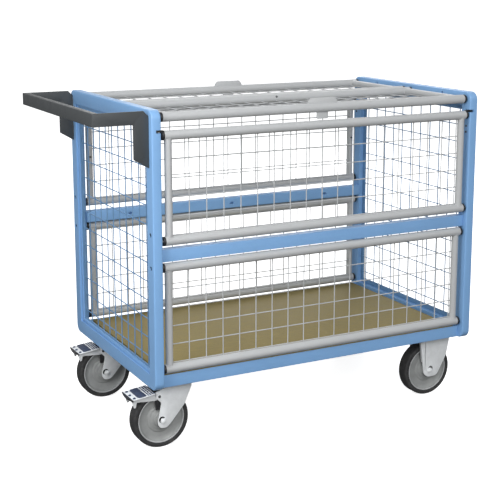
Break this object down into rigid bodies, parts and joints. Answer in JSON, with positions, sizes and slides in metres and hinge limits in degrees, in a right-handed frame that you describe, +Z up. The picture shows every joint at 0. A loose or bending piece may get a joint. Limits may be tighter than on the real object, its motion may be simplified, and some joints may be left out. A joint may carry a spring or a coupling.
{
  "type": "roll cage container",
  "caption": "Mesh-sided platform trolley with a split lid, drop-down side flaps, a push handle, fixed and swivel castors and foot brakes.",
  "frame": {"origin": "floor level under the centre of the overall footprint, handle included", "axes": "+X from the push handle to the fixed-castor end, +Y from the front side to the rear side, +Z up"},
  "size_m": [1.17, 0.62, 0.933],
  "materials": {
    "blue_paint": "light blue powder coat, satin",
    "silver_steel": "light grey powder-coated steel tube and wire, satin",
    "graphite_paint": "dark graphite powder coat, satin",
    "zinc_steel": "bright zinc-plated pressed steel",
    "black_plastic": "black moulded plastic",
    "grey_plastic": "mid grey moulded wheel body",
    "rubber": "black solid rubber",
    "board": "pressed wood board, smooth, unpainted"
  },
  "bodies": {
    "cage": {"left_front_column": "blue_paint", "left_rear_column": "blue_paint", "left_top_beam": "blue_paint", "left_bottom_beam": "blue_paint", "right_front_column": "blue_paint", "right_rear_column": "blue_paint", "right_top_beam": "blue_paint", "right_bottom_beam": "blue_paint", "left_infill": "blue_paint", "right_infill": "blue_paint", "front_base_beam": "blue_paint", "rear_base_beam": "blue_paint", "front_mid_rail": "blue_paint", "rear_mid_rail": "blue_paint", "left_bearer": "blue_paint", "right_bearer": "blue_paint", "deck_board": "board", "front_lower_panel": "silver_steel", "rear_lower_panel": "silver_steel", "lower_plugs": "black_plastic", "panel_pins": "zinc_steel", "lid_pivot_pins": "zinc_steel", "lid_rests": "zinc_steel", "handle_bar": "graphite_paint", "front_handle_arm": "graphite_paint", "rear_handle_arm": "graphite_paint", "front_swivel_plate": "zinc_steel", "rear_swivel_plate": "zinc_steel", "kingpins": "zinc_steel", "front_fixed_fork": "zinc_steel", "rear_fixed_fork": "zinc_steel", "fixed_axles": "zinc_steel", "castor_bolts": "zinc_steel"},
    "front_flap": {"front_flap": "silver_steel", "front_flap_plugs": "black_plastic"},
    "rear_flap": {"rear_flap": "silver_steel", "rear_flap_plugs": "black_plastic"},
    "front_lid": {"front_lid": "silver_steel", "front_lid_tab": "silver_steel", "front_lid_plugs": "black_plastic"},
    "rear_lid": {"rear_lid": "silver_steel", "rear_lid_tab": "silver_steel", "rear_lid_plugs": "black_plastic"},
    "front_swivel": {"front_swivel_fork": "zinc_steel", "front_swivel_axle": "zinc_steel"},
    "rear_swivel": {"rear_swivel_fork": "zinc_steel", "rear_swivel_axle": "zinc_steel"},
    "front_swivel_wheel": {"front_swivel_hub": "grey_plastic", "front_swivel_tyre": "rubber"},
    "rear_swivel_wheel": {"rear_swivel_hub": "grey_plastic", "rear_swivel_tyre": "rubber"},
    "front_brake": {"front_brake_lever": "zinc_steel", "front_brake_rubber": "rubber"},
    "rear_brake": {"rear_brake_lever": "zinc_steel", "rear_brake_rubber": "rubber"},
    "front_fixed_wheel": {"front_fixed_hub": "grey_plastic", "front_fixed_tyre": "rubber"},
    "rear_fixed_wheel": {"rear_fixed_hub": "grey_plastic", "rear_fixed_tyre": "rubber"}
  },
  "joints": [
    {"name": "front_flap_hinge", "type": "hinge", "parent": "cage", "child": "front_flap", "pos_m": [0.075, -0.2975, 0.587], "axis": [1, 0, 0], "range_deg": [0, 150]},
    {"name": "rear_flap_hinge", "type": "hinge", "parent": "cage", "child": "rear_flap", "pos_m": [0.075, 0.2975, 0.587], "axis": [-1, 0, 0], "range_deg": [0, 150]},
    {"name": "front_lid_hinge", "type": "hinge", "parent": "cage", "child": "front_lid", "pos_m": [0.075, -0.018, 0.9065], "axis": [-1, 0, 0], "range_deg": [0, 88]},
    {"name": "rear_lid_hinge", "type": "hinge", "parent": "cage", "child": "rear_lid", "pos_m": [0.075, 0.018, 0.9065], "axis": [1, 0, 0], "range_deg": [0, 88]},
    {"name": "front_castor_swivel", "type": "hinge", "parent": "cage", "child": "front_swivel", "pos_m": [-0.34, -0.215, 0.175], "axis": [0, 0, 1], "continuous": true},
    {"name": "front_swivel_wheel_spin", "type": "hinge", "parent": "front_swivel", "child": "front_swivel_wheel", "pos_m": [-0.388, -0.215, 0.08], "axis": [0, 1, 0], "continuous": true},
    {"name": "front_brake_pedal", "type": "hinge", "parent": "front_swivel", "child": "front_brake", "pos_m": [-0.398, -0.215, 0.15], "axis": [0, -1, 0], "range_deg": [0, 6]},
    {"name": "front_fixed_wheel_spin", "type": "hinge", "parent": "cage", "child": "front_fixed_wheel", "pos_m": [0.49, -0.215, 0.08], "axis": [0, 1, 0], "continuous": true},
    {"name": "rear_castor_swivel", "type": "hinge", "parent": "cage", "child": "rear_swivel", "pos_m": [-0.34, 0.215, 0.175], "axis": [0, 0, 1], "continuous": true},
    {"name": "rear_swivel_wheel_spin", "type": "hinge", "parent": "rear_swivel", "child": "rear_swivel_wheel", "pos_m": [-0.388, 0.215, 0.08], "axis": [0, 1, 0], "continuous": true},
    {"name": "rear_brake_pedal", "type": "hinge", "parent": "rear_swivel", "child": "rear_brake", "pos_m": [-0.398, 0.215, 0.15], "axis": [0, -1, 0], "range_deg": [0, 6]},
    {"name": "rear_fixed_wheel_spin", "type": "hinge", "parent": "cage", "child": "rear_fixed_wheel", "pos_m": [0.49, 0.215, 0.08], "axis": [0, 1, 0], "continuous": true}
  ]
}
